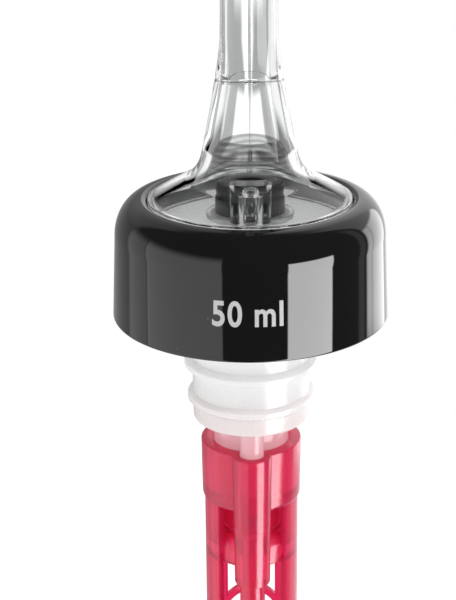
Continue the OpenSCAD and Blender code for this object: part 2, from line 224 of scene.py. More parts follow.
def skin(grid, ring_rows=False, ring_cols=True):
    """Points and faces of a grid. A side of the grid that isn't a ring is capped by one face, unless all its
    points are one pole, which is then welded."""
    rows, cols = grid.shape[:2]
    i, j = np.meshgrid(np.arange(rows - (not ring_rows)), np.arange(cols - (not ring_cols)), indexing="ij")
    i1 = (i + 1) % rows
    j1 = (j + 1) % cols
    quads = np.stack([i * cols + j, i * cols + j1, i1 * cols + j1, i1 * cols + j], -1).reshape(-1, 4)
    points = grid.reshape(-1, 3)
    keys, back = np.unique(np.round(points, 7), axis=0, return_inverse=True)
    quads = back.reshape(-1)[quads]
    low_pole = quads[:, 0] == quads[:, 1]
    high_pole = quads[:, 2] == quads[:, 3]
    faces = quads[~low_pole & ~high_pole].tolist()
    faces += quads[low_pole & ~high_pole][:, [0, 2, 3]].tolist()
    faces += quads[high_pole & ~low_pole][:, [0, 1, 2]].tolist()
    index = back.reshape(rows, cols)
    caps = [] if ring_rows else [index[0, ::-1], index[-1]]
    caps += [] if ring_cols else [index[:, 0], index[::-1, -1]]
    faces += [cap.tolist() for cap in caps if len(set(cap.tolist())) > 2]
    return keys, faces


def solid(profile, middle=SPOUT_AXIS):
    """Turned solid whose profile begins and ends on the axis."""
    return skin(turned(profile, middle))


def ring(profile, middle=SPOUT_AXIS, angles=FULL_TURN):
    """Turned ring whose profile is a closed outline."""
    return skin(turned(profile, middle, angles), ring_rows=True)


def bar(radius, low, high, middle, flare=0.0):
    """Round bar between two heights. A flare widens its upper end, as a cutter that rounds a bore's mouth does."""
    profile = [[0.0, low], [radius, low], [radius, high], [0.0, high]]
    if flare:
        mouth = arc((radius + flare, high - flare), flare, flare, 180, 90, 6)
        top = [[radius + flare, high + PAST], [0.0, high + PAST]]
        profile = np.concatenate([[[0.0, low], [radius, low]], mouth, top])
    return solid(profile, middle)


def block(low, high):
    """Box between two corners, as a square outline carried upwards."""
    x = np.array([low[0], high[0], high[0], low[0]])
    y = np.array([low[1], low[1], high[1], high[1]])
    rows = [np.stack([x, y, np.full(4, z)], -1) for z in (low[2], high[2])]
    return skin(np.stack(rows))


def ball(radius, middle):
    """Sphere: radius times (cos e cos a, cos e sin a, sin e) around its middle."""
    e = np.linspace(-np.pi / 2, np.pi / 2, 64)
    grid = turned(np.stack([radius * np.cos(e), middle[2] + radius * np.sin(e)], -1), middle[:2], FULL_TURN[::2])
    return skin(grid)


def moved(shape, matrix):
    """The same shape with its points turned and moved by a 4 x 4 matrix."""
    points, faces = shape
    turn = np.array(matrix)
    return points @ turn[:3, :3].T + turn[:3, 3], faces


# Objects


def raw_object(name, shape):
    """Object of a shape that is written in millimetres."""
    points, faces = shape
    mesh = bpy.data.meshes.new(name)
    mesh.from_pydata((np.asarray(points) * MM).tolist(), [], faces)
    mesh.update()
    made = bpy.data.objects.new(name, mesh)
    bpy.context.scene.collection.objects.link(made)
    return made


def smooth(mesh, angle=32.0):
    """Smooth shading that keeps edges sharper than the angle."""
    mesh.polygons.foreach_set("use_smooth", np.ones(len(mesh.polygons), bool))
    mesh.set_sharp_from_angle(angle=math.radians(angle))


def plus(*shapes):
    """Carving steps that join the shapes on."""
    return [("UNION", shape) for shape in shapes]


def less(*shapes):
    """Carving steps that cut the shapes away."""
    return [("DIFFERENCE", shape) for shape in shapes]


def carved(name, shape, steps=()):
    """Mesh of a shape after the carving steps, in their order."""
    made = raw_object(name, shape)
    helpers = []
    for operation, other in steps:
        helper = raw_object(f"{name}_helper", other)
        helpers.append(helper)
        step = made.modifiers.new(operation.lower(), "BOOLEAN")
        step.solver = "MANIFOLD"
        step.operation = operation
        step.object = helper
    bpy.context.view_layer.update()
    graph = bpy.context.evaluated_depsgraph_get()
    mesh = bpy.data.meshes.new_from_object(made.evaluated_get(graph))
    for helper in helpers + [made]:
        spare = helper.data
        bpy.data.objects.remove(helper)
        bpy.data.meshes.remove(spare)
    if not mesh.polygons:
        raise RuntimeError(f"{name} came out empty")
    mesh.name = name
    return mesh


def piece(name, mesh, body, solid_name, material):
    """Puts a mesh in the scene as a piece that rides on a body and, where a solid is named, stands for it."""
    smooth(mesh)
    mesh.materials.clear()
    mesh.materials.append(material)
    made = bpy.data.objects.new(name, mesh)
    bpy.context.scene.collection.objects.link(made)
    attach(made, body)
    if solid_name:
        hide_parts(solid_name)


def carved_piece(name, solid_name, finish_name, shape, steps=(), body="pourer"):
    """Piece that stands for a solid and whose mesh is a shape after the carving steps."""
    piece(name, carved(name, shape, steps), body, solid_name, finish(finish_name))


# Finishes


def group_tree(name, values, masks):
    """Empty shader group with a vector input, float inputs with their defaults, and float outputs. None if the group
    is there already."""
    if name in bpy.data.node_groups:
        return None
    tree = bpy.data.node_groups.new(name, "ShaderNodeTree")
    tree.interface.new_socket("Vector", in_out="INPUT", socket_type="NodeSocketVector")
    for label, value in values.items():
        tree.interface.new_socket(label, in_out="INPUT", socket_type="NodeSocketFloat").default_value = value
    for label in masks:
        tree.interface.new_socket(label, in_out="OUTPUT", socket_type="NodeSocketFloat")
    return tree


def node(tree, kind, values=None, **settings):
    """New node with settings, and with values or links for its inputs."""
    made = tree.nodes.new(kind)
    for key, value in settings.items():
        setattr(made, key, value)
    for key, value in (values or {}).items():
        if isinstance(value, bpy.types.NodeSocket):
            tree.links.new(value, made.inputs[key])
        else:
            made.inputs[key].default_value = value
    return made


def maths(tree, operation, *values, **settings):
    """Output of a maths node."""
    return node(tree, "ShaderNodeMath", dict(enumerate(values)), operation=operation, **settings).outputs["Value"]


def ramp(tree, value, low, high, start=0.0, stop=1.0, curve="SMOOTHSTEP"):
    """Output that goes from start to stop while the value goes from low to high, and no further."""
    values = {"Value": value, "From Min": low, "From Max": high, "To Min": start, "To Max": stop}
    return node(tree, "ShaderNodeMapRange", values, interpolation_type=curve).outputs["Result"]


def mixed(tree, share, first, second, kind="RGBA"):
    """Output that goes from the first colour or value to the second with the share."""
    return node(tree, "ShaderNodeMix", {"Factor": share, "A": first, "B": second}, data_type=kind).outputs["Result"]


def grey(level):
    """Grey of that level."""
    return (level, level, level, 1.0)


def tinted(colour, tint=(1.0, 1.0, 1.0)):
    """The colour times a tint."""
    return (*(c * t for c, t in zip(colour, tint)), 1.0)


def moulding_group():
    """Group of the marks that moulding leaves: soft flow waves, a fine grain and sparse specks of dust."""
    name = "Moulding marks"
    scales = {"Flow scale": 90.0, "Grain scale": 2600.0, "Speck scale": 700.0}
    tree = group_tree(name, scales, ("Flow", "Grain", "Specks"))
    if tree is None:
        return bpy.data.node_groups[name]
    speck_edge = 0.1
    speck_core = 0.05
    bare_share = 0.985
    given = node(tree, "NodeGroupInput").outputs
    place = given["Vector"]
    flow = node(tree, "ShaderNodeTexNoise", {"Vector": place, "Scale": given["Flow scale"], "Detail": 2.0})
    grain = node(tree, "ShaderNodeTexNoise", {"Vector": place, "Scale": given["Grain scale"], "Detail": 3.0})
    cells = node(tree, "ShaderNodeTexVoronoi", {"Vector": place, "Scale": given["Speck scale"]}).outputs
    speck = ramp(tree, cells["Distance"], speck_edge, speck_core, curve="LINEAR")
    pick = node(tree, "ShaderNodeSeparateColor", {"Color": cells["Color"]}).outputs["Red"]
    rare = maths(tree, "MULTIPLY", speck, maths(tree, "GREATER_THAN", pick, bare_share))
    node(tree, "NodeGroupOutput", {"Flow": flow.outputs["Fac"], "Grain": grain.outputs["Fac"], "Specks": rare})
    return tree


def painted_shade_glow_group():
    """Group of painted shade and painted glow on a turned hollow and on its skin. Rings: painted grey rings of
    shade, in waves, on the surface that lies inside the cone of a radius that shrinks by the taper from the low
    height to
    the high one. Line: painted shade along the witness line round the front, that drops from its height with the
    share of x in the radius. Rim: painted glow on the surface outside a radius and below an edge, fainter towards
    the back."""
    name = "Mould marks"
    tree = group_tree(name, {
        "Low": 0.0, "High": 0.01, "Radius": 0.01, "Taper": 0.5, "Pitch": 0.001, "Line": 0.02, "Drop": 0.0,
        "Rim": 0.02, "Edge": 0.0}, ("Rings", "Line", "Rim"))
    if tree is None:
        return bpy.data.node_groups[name]
    growth = 1.8
    sway_scale = 160.0
    sway_turns = 1.2
    shade_wave_depth = 0.12
    ring_level = 0.84
    line_half = 0.00022
    line_reach = 0.2
    skin_r = 0.004
    rim_back = -0.1
    rim_front = -0.95
    rim_least = 0.12
    calc = functools.partial(maths, tree)
    given = node(tree, "NodeGroupInput").outputs
    place = given["Vector"]
    x, y, z = node(tree, "ShaderNodeSeparateXYZ", {0: place}).outputs[:]
    flat = node(tree, "ShaderNodeCombineXYZ", {"X": x, "Y": y}).outputs["Vector"]
    away = node(tree, "ShaderNodeVectorMath", {0: flat}, operation="LENGTH").outputs["Value"]
    over = calc("SUBTRACT", z, given["Low"])
    inside = calc("LESS_THAN", calc("MULTIPLY_ADD", over, given["Taper"], away), given["Radius"])
    share = calc("DIVIDE", over, calc("SUBTRACT", given["High"], given["Low"]))
    below = calc("LESS_THAN", share, 1.0)
    grown = calc("MULTIPLY", share, growth, use_clamp=True)
    sway = node(tree, "ShaderNodeTexNoise", {"Vector": place, "Scale": sway_scale, "Detail": 1.0}).outputs["Fac"]
    turns = calc("MULTIPLY_ADD", sway, sway_turns, calc("DIVIDE", z, given["Pitch"]))
    wave = calc("MULTIPLY_ADD", calc("SINE", calc("MULTIPLY", turns, 2.0 * math.pi)), shade_wave_depth, ring_level)
    # Painted shade: grey rings in waves on the hollow's slope, stronger towards its high end
    rings = calc("MULTIPLY", calc("MULTIPLY", inside, below), calc("MULTIPLY", grown, wave))
    # Painted shade along the witness line round the front
    side = calc("DIVIDE", calc("ABSOLUTE", x), away)
    height = calc("MULTIPLY_ADD", side, given["Drop"], z)
    off = calc("DIVIDE", calc("ABSOLUTE", calc("SUBTRACT", height, given["Line"])), line_half)
    front = calc("LESS_THAN", y, calc("MULTIPLY", away, line_reach))
    outer = calc("GREATER_THAN", away, skin_r)
    line = calc("MULTIPLY", calc("SUBTRACT", 1.0, off, use_clamp=True), calc("MULTIPLY", front, outer))
    # Painted glow on the rim, fainter towards the back
    ahead = ramp(tree, calc("DIVIDE", y, away), rim_back, rim_front, rim_least)
    rim = calc("MULTIPLY", calc("GREATER_THAN", away, given["Rim"]), calc("LESS_THAN", z, given["Edge"]))
    node(tree, "NodeGroupOutput", {"Rings": rings, "Line": line, "Rim": calc("MULTIPLY", rim, ahead)})
    return tree


def plastic(name, colour, shade, rough, bump, specks=0.0, scales=(90.0, 2600.0, 700.0), shine=None, glow=None,
            marks_at=None, **shader):
    """Moulded plastic: the colour drifts towards a shade with the flow of the melt, the roughness and the bump
    follow the grain, and specks of dust lighten it. From one height to another it can take a painted pink tint that
    stands for light from the red tail, and a painted glow, light that it gives off there though it is no lamp.
    Painted grey rings of shade and a painted shade line grey it, and a painted glow lights its rim. Numbers that
    are the same all over sit on the shader."""
    ring_grey = 0.1
    painted_line_shade = 0.2
    painted_rim_glow = 0.5
    dust_grey = 0.7
    grain_low = 0.3
    grain_high = 0.7
    made = bpy.data.materials.new(name)
    made.use_nodes = True
    tree = made.node_tree
    bsdf = tree.nodes["Principled BSDF"]
    place = node(tree, "ShaderNodeTexCoord").outputs["Object"]

    def climbed(start_z, stop_z):
        """Share of the way from one height to another, given in millimetres."""
        height = node(tree, "ShaderNodeSeparateXYZ", {0: place}).outputs["Z"]
        return ramp(tree, height, start_z * MM, stop_z * MM)

    sizes = dict(zip(("Flow scale", "Grain scale", "Speck scale"), scales))
    marks = node(tree, "ShaderNodeGroup", {"Vector": place, **sizes}, node_tree=moulding_group()).outputs
    coloured = mixed(tree, marks["Flow"], tinted(colour), tinted(colour, shade))
    painted_glow = None
    if marks_at:
        mould = node(tree, "ShaderNodeGroup", {"Vector": place, **marks_at}, node_tree=painted_shade_glow_group()).outputs
        # Painted shade: grey rings in the hollow and a grey line along the witness line
        coloured = mixed(tree, mould["Rings"], coloured, grey(ring_grey))
        coloured = mixed(tree, mould["Line"], coloured, grey(painted_line_shade))
        # Painted glow on the rim, given as emission
        painted_glow = mixed(tree, mould["Rim"], grey(0.0), grey(painted_rim_glow))
    # Painted glow: emission from one height to another, light that the plastic gives off though it is no lamp
    if glow:
        start_z, stop_z, share = glow
        painted_glow = mixed(tree, climbed(start_z, stop_z), grey(0.0), tinted(colour, (share, share, share)))
    # Painted light: a pink tint from one height to another that stands for light from the red tail
    if shine:
        start_z, stop_z, tint = shine
        coloured = mixed(tree, climbed(start_z, stop_z), coloured, tinted(colour, tint))
    if specks:
        coloured = mixed(tree, maths(tree, "MULTIPLY", marks["Specks"], specks), coloured, grey(dust_grey))
    gloss = ramp(tree, marks["Grain"], grain_low, grain_high, *rough, curve="LINEAR")
    strength, distance, mark = bump
    relief = node(tree, "ShaderNodeBump", {"Strength": strength, "Distance": distance, "Height": marks[mark]})
    fed = {"Base Color": coloured, "Roughness": gloss, "Normal": relief.outputs["Normal"]}
    if painted_glow is not None:
        fed["Emission Color"] = painted_glow
        shader["Emission_Strength"] = 1.0
    for label, socket in fed.items():
        tree.links.new(socket, bsdf.inputs[label])
    for label, value in shader.items():
        bsdf.inputs[label.replace("_", " ")].default_value = value
    return made


# Each finish: its colour, the shade it drifts to, its least and most roughness, the bump's strength, distance and
# mark, and what else it has
FINISHES = {
    "clear moulding": ("clear", (0.98, 0.985, 0.985), (0.015, 0.035), (0.03, 0.0004, "Flow"), dict(
        # Where the painted shade rings, the painted shade line and the painted rim glow sit
        marks_at={"Low": 0.01, "High": 0.01805, "Radius": 0.00995, "Taper": 0.62, "Pitch": 0.0009,
                  "Line": WITNESS_Z * MM, "Drop": WITNESS_DROP * MM, "Rim": 0.01405, "Edge": 0.0085},
        Transmission_Weight=1.0, IOR=1.57, Specular_Tint=grey(0.35))),
    "natural moulding": ("clear", (0.97, 0.97, 0.97), (0.05, 0.1), (0.05, 0.0003, "Flow"), dict(
        # Painted pink light from the red tail and painted glow, both towards the lower end
        shine=(-24.0, -30.0, (1.0, 0.62, 0.68)), glow=(-24.0, -28.0, 0.075), Transmission_Weight=0.65, IOR=1.35)),
    "gloss black moulding": ("black", (1.6, 1.6, 1.6), (0.02, 0.045), (0.02, 0.0003, "Flow"), dict(
        specks=0.3, scales=(60.0, 2600.0, 1100.0), IOR=1.5)),
    "cage moulding": ("cage", (1.5, 1.5, 1.5), (0.25, 0.4), (0.05, 0.0001, "Grain"), dict(IOR=1.5)),
    "soft white moulding": ("stopper", (0.97, 0.97, 0.975), (0.2, 0.3), (0.05, 0.0002, "Grain"), dict(
        # Painted pink light from the red tail lower down, and painted glow towards the top under the collar
        shine=(-19.0, -28.0, (0.92, 0.83, 0.835)), glow=(-21.0, -13.0, 0.22), Subsurface_Weight=1.0,
        Subsurface_Radius=(0.0012, 0.0012, 0.0012), Subsurface_Scale=1.0, IOR=1.45)),
    "red moulding": ("red", (0.97, 0.9, 0.92), (0.16, 0.26), (0.04, 0.0003, "Flow"), dict(
        Transmission_Weight=0.7, IOR=1.5)),
    "ball steel": ("steel", (0.9, 0.9, 0.9), (0.06, 0.16), (0.02, 0.00005, "Grain"), dict(Metallic=1.0)),
    "print ink": ("ink", (0.96, 0.96, 0.96), (0.4, 0.55), (0.1, 0.00005, "Grain"), {}),
}


def finish(name):
    """The material of that name, made the first time it is asked for."""
    if name in bpy.data.materials:
        return bpy.data.materials[name]
    colour, shade, rough, bump, rest = FINISHES[name]
    return plastic(name, getattr(bpy.context.scene.pourer_colours, colour), shade, rough, bump, **rest)


# Pieces


def passage_radius(angles):
    """Distance from the spout's axis to the edge of the passage that the stem and the breather tube share: the
    farther of the two circles along each angle."""

    def reach(middle, radius):
        """Where a ray from the axis leaves a circle, by the quadratic formula, or 0 where it misses."""
        along = middle[0] * np.cos(angles) + middle[1] * np.sin(angles)
        inside = along ** 2 - (middle[0] ** 2 + middle[1] ** 2) + radius ** 2
        return np.where(inside > 0.0, along + np.sqrt(np.maximum(inside, 0.0)), 0.0)

    return np.maximum(reach(STEM_AXIS, STEM_R + FIT), reach(BREATHER_AXIS, SOCKET_R))


def pierced(outline, low, high):
    """Turned body with the shared passage through it: the outline runs from the passage's lower edge round the
    outside to its upper edge, and the wall of the passage closes it."""
    grid = turned(outline)
    edge = passage_radius(FULL_TURN)
    rims = [np.stack([edge * np.cos(FULL_TURN), edge * np.sin(FULL_TURN), np.full(len(edge), z)], -1)
            for z in (low, high)]
    return skin(np.concatenate([rims[0][None], grid, rims[1][None]]), ring_rows=True)


class POURER_OT_collar(bpy.types.Operator):
    """Makes the gloss black collar with its rolled shoulder, raised lip and thin skirt"""

    bl_idname = "pourer.collar"
    bl_label = "Collar"

    def execute(self, context):
        hole_r = 13.95
        well_r = 15.75
        crown_r = 16.65
        skirt_t = 1.9
        lip = 0.9
        soft = 0.3
        roof_round = 2.0
        inner_top = SHOULDER_R - skirt_t
        inner_rim = RIM_R - skirt_t
        outline = np.concatenate([
            [[hole_r, FLANGE_Z], [inner_top - roof_round, FLANGE_Z]],
            arc((inner_top - roof_round, FLANGE_Z - roof_round), roof_round, roof_round, 88, 2, 10),
            [[inner_rim, RIM_Z + soft]],
            arc((inner_rim + soft, RIM_Z + soft), soft, soft, 185, 265, 6),
            arc((RIM_R - RIM_ROUND, RIM_Z + RIM_ROUND), RIM_ROUND, RIM_ROUND, -90, 0, 8),
            arc((crown_r, FLANGE_Z), SHOULDER_R - crown_r, LIP_Z - FLANGE_Z, 0, 90, 48),
            arc((crown_r, LIP_Z - lip / 2), lip, lip / 2, 92, 180, 16),
            [[well_r, FLOOR_Z + soft]],
            arc((well_r - soft, FLOOR_Z + soft), soft, soft, -5, -85, 5),
            [[hole_r, FLOOR_Z]],
        ])
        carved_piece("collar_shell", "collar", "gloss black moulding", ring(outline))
        return {"FINISHED"}


class POURER_OT_stopper(bpy.types.Operator):
    """Makes the white stopper: a raised top, a flange, a tapered sleeve and four fins that thin to their edges"""

    bl_idname = "pourer.stopper"
    bl_label = "Stopper"

    def execute(self, context):
        top_r = 9.25
        end_r = 9.15
        flange_r = 15.0
        raised_r = 13.9
        inner_r = 7.6
        fins = 4
        fin_r = 11.3
        fin_drop = 0.45
        first_fin = -6.4
        pitch = 5.7
        tip_half = 0.4
        root_half = 0.9
        fin_rounds = [0.2, 0.12, 0.12, 0.2]
        corners = [[inner_r, CORK_END_Z], [end_r, CORK_END_Z]]
        radii = [0.0, 0.6]
        for i in reversed(range(fins)):
            z = first_fin - i * pitch
            edge = fin_r - i * fin_drop
            sleeve = end_r + (top_r - end_r) * (z - CORK_END_Z) / (SEAT_Z - CORK_END_Z)
            corners += [[sleeve, z - root_half], [edge, z - tip_half], [edge, z + tip_half], [sleeve, z + root_half]]
            radii += fin_rounds
        corners += [[top_r, SEAT_Z], [flange_r, SEAT_Z], [flange_r, FLANGE_Z], [raised_r, FLANGE_Z],
                    [raised_r, FLOOR_Z], [inner_r, FLOOR_Z]]
        radii += [0.4, 0.5, 0.25, 0.0, 0.2, 0.0]
        shape = pierced(rounded(corners, radii), CORK_END_Z, FLOOR_Z)
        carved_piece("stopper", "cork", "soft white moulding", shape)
        return {"FINISHED"}


class POURER_OT_spout(bpy.types.Operator):
    """Makes the clear spout: a flared foot on a conical flange, a slim tube, and the hollows inside them"""

    bl_idname = "pourer.spout"
    bl_label = "Spout"

    def execute(self, context):
        edge = (15.5, 8.9)
        slope = math.radians(27.5)
        cone = -1.0 / math.tan(slope)
        fillet_r = 10.0
        fillet = (fillet_r, edge[1] + (edge[0] - fillet_r) * math.tan(slope))
        root = (7.2, 15.8)
        neck = (4.75, 29.2)
        tube = (4.3, 33.3)
        tip = (3.75, TIP_Z)
        root_rate = -0.207
        neck_rate = -0.156
        tube_rate = (tip[0] - tube[0]) / (tip[1] - tube[1])
        soft = 0.3
        foot_z = FLOOR_Z + FIT
        outline = np.concatenate([
            [[0.0, foot_z]],
            arc((edge[0] - soft, foot_z + soft), soft, soft, -90, 0, 6),
            arc((edge[0] - soft, edge[1] - soft), soft, soft, 0, 62, 6),
            bend(fillet, cone, root, root_rate),
            bend(root, root_rate, neck, neck_rate, 180)[1:],
            bend(neck, neck_rate, tube, tube_rate, 16)[1:],
            [tip, [0.0, TIP_Z]],
        ])

        # The parting seam stands proud at the front and the back, and the witness line is a groove round the front
        seam = context.scene.pourer_sizes.seam / MM
        seam_half = 0.02
        line_depth = 0.16
        line_half = 0.2
        line_reach = 0.2
        front = FRONT % (2 * np.pi)
        near = np.radians(np.linspace(-4.0, 4.0, 17))
        angles = np.unique(np.round(np.concatenate([FULL_TURN, front + near, BACK + near]), 6))
        grid = turned(outline, SPOUT_AXIS, angles)
        ridge = seam * sum(np.exp(-((angles - middle) / seam_half) ** 2) for middle in (front, BACK))
        line_z = WITNESS_Z - WITNESS_DROP * np.abs(np.cos(angles))
        witness = line_depth * np.exp(-((grid[..., 2] - line_z[None]) / line_half) ** 2)
        witness = witness * (np.sin(angles) < line_reach)[None]
        outwards = grid[..., :2] / np.maximum(np.linalg.norm(grid[..., :2], axis=-1, keepdims=True), 1e-9)
        grid[..., :2] += outwards * (ridge[None] - witness)[..., None]

        # The hollow: a bell under the cone, a slope to the pour channel, and a step where the channel widens
        bell_r = 14.0
        bell_wall = 1.6
        ceiling_z = 16.2
        throat = (4.4, 18.0)
        channel_r = 3.05
        step_z = 26.6
        wide_r = 3.25
        mouth_r = 2.95
        under_z = FLOOR_Z - PAST
        over_z = TIP_Z + PAST
        lean = math.atan(-root_rate)
        low = (fillet[0] - bell_wall * math.sin(slope), fillet[1] - bell_wall * math.cos(slope))
        high = (root[0] - bell_wall * math.cos(lean), root[1] - bell_wall * math.sin(lean))

        def roof(r):
            """Height of the hollow's roof under the cone, at a radius."""
            return low[1] + (low[0] - r) * math.tan(slope)

        bell = solid(np.concatenate([
            [[0.0, under_z], [bell_r, under_z]],
            arc((bell_r - soft, roof(bell_r) - soft / 2), soft, soft, 0, 62, 6),
            bend(low, cone, high, root_rate),
            [[high[0] + root_rate * (ceiling_z - high[1]), ceiling_z], throat],
            [[channel_r, step_z], [wide_r, step_z], [wide_r, tube[1]], [mouth_r, over_z], [0.0, over_z]],
        ]))

        # The vent column at the front with its bore and groove, the room for cage and stem, and the slanted tip
        column_r = 3.0
        vent_h = 0.8
        vent_roof = 0.9
        cage_room = 0.5
        groove_end = -20.0
        tip_cut = math.radians(-35.0)
        cut_half = 15.0
        top_z = roof(-BREATHER_AXIS[1])
        column = bar(column_r, foot_z, top_z, BREATHER_AXIS)
        bore = solid(np.concatenate([
            [[0.0, under_z], [VENT_R, under_z]],
            arc((0.0, top_z - vent_roof - VENT_R), VENT_R, VENT_R, 0, 90, 16)]), BREATHER_AXIS)
        groove = block((-VENT_R, groove_end, under_z), (VENT_R, BREATHER_AXIS[1], FLOOR_Z + vent_h))
        slant = Matrix.Translation((0.0, -tip[0], TIP_Z)) @ Matrix.Rotation(tip_cut, 4, "X")
        wedge = moved(block((-cut_half, -cut_half, 0.0), (cut_half, cut_half, 2 * cut_half)), slant)
        steps = less(bell) + plus(column) + less(
            bar(CAGE_R + FIT, under_z, top_z + cage_room, STEM_AXIS),
            bar(HEAD_R + FIT, under_z, HEAD_Z + FIT, STEM_AXIS), bore, groove, wedge)
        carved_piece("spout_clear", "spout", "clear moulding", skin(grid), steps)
        return {"FINISHED"}


class POURER_OT_stem(bpy.types.Operator):
    """Makes the clear stem with its flat head and ball seat, and the breather tube that nests in its front"""

    bl_idname = "pourer.stem"
    bl_label = "Stem and breather tube"

    def execute(self, context):
        bore_r = 4.2
        bore_top_z = -3.865
        seat_r = 2.5
        seat_end_z = -0.465
        seat_top_z = 2.835
        mouth_r = 4.5
        outline = rounded([
            [bore_r, STEM_END_Z], [STEM_R, STEM_END_Z], [STEM_R, FLOOR_Z], [HEAD_R, FLOOR_Z], [HEAD_R, HEAD_Z],
            [mouth_r, HEAD_Z], [seat_r, seat_top_z], [seat_r, seat_end_z], [bore_r, bore_top_z],
        ], [0.15, 0.3, 0.0, 0.15, 0.25, 0.1, 0.1, 0.3, 0.3], 5)
        steps = less(bar(SOCKET_R, STEM_END_Z - PAST, FLOOR_Z, BREATHER_AXIS),
                     bar(VENT_R, FLOOR_Z - PAST, HEAD_Z + PAST, BREATHER_AXIS))
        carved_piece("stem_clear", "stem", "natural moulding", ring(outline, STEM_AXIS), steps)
        tube_r = 1.9
        air_r = 1.1
        outline = rounded([
            [air_r, TUBE_END_Z], [tube_r, TUBE_END_Z], [tube_r, TUBE_TOP_Z], [air_r, TUBE_TOP_Z],
        ], 0.15, 5)
        shape = ring(outline, BREATHER_AXIS, FULL_TURN[::3])
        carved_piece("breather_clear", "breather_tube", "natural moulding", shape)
        return {"FINISHED"}


class POURER_OT_cage(bpy.types.Operator):
    """Makes the dark cage that holds the spout's ball, with an arched window at the front and at the back"""

    bl_idname = "pourer.cage"
    bl_label = "Ball cage"

    def execute(self, context):
        bore_r = 4.5
        outlet_r = 2.5
        roof_t = 0.7
        roof_z = CAGE_TOP_Z - roof_t
        outline = rounded([
            [bore_r, HEAD_Z], [CAGE_R, HEAD_Z], [CAGE_R, CAGE_TOP_Z], [outlet_r, CAGE_TOP_Z], [outlet_r, roof_z],
            [bore_r, roof_z],
        ], [0.1, 0.1, 0.3, 0.1, 0.1, 0.2], 5)
        half = 2.5
        sill_h = 0.5
        lintel_h = 0.7
        depth = 10.0
        sill_z = HEAD_Z + sill_h
        arch_z = roof_z - lintel_h - half
        curve = np.concatenate([[[-half, sill_z], [half, sill_z]], arc((0.0, arch_z), half, half, 0, 180, 32)])
        rows = [np.stack([curve[:, 0], np.full(len(curve), y), curve[:, 1]], -1) for y in (depth, -depth)]
        windows = less(skin(np.stack(rows)))
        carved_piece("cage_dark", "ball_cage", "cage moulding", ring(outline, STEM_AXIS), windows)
        return {"FINISHED"}


class POURER_OT_balls(bpy.types.Operator):
    """Makes the three loose steel balls, each on its own body"""

    bl_idname = "pourer.balls"
    bl_label = "Steel balls"

    def execute(self, context):
        for name in ("spout_ball", "breather_ball", "metering_ball"):
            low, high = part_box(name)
            shape = ball((high.z - low.z) / 2.0 / MM, np.array((low + high) / 2.0) / MM)
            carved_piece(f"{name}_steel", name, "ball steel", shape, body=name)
        return {"FINISHED"}


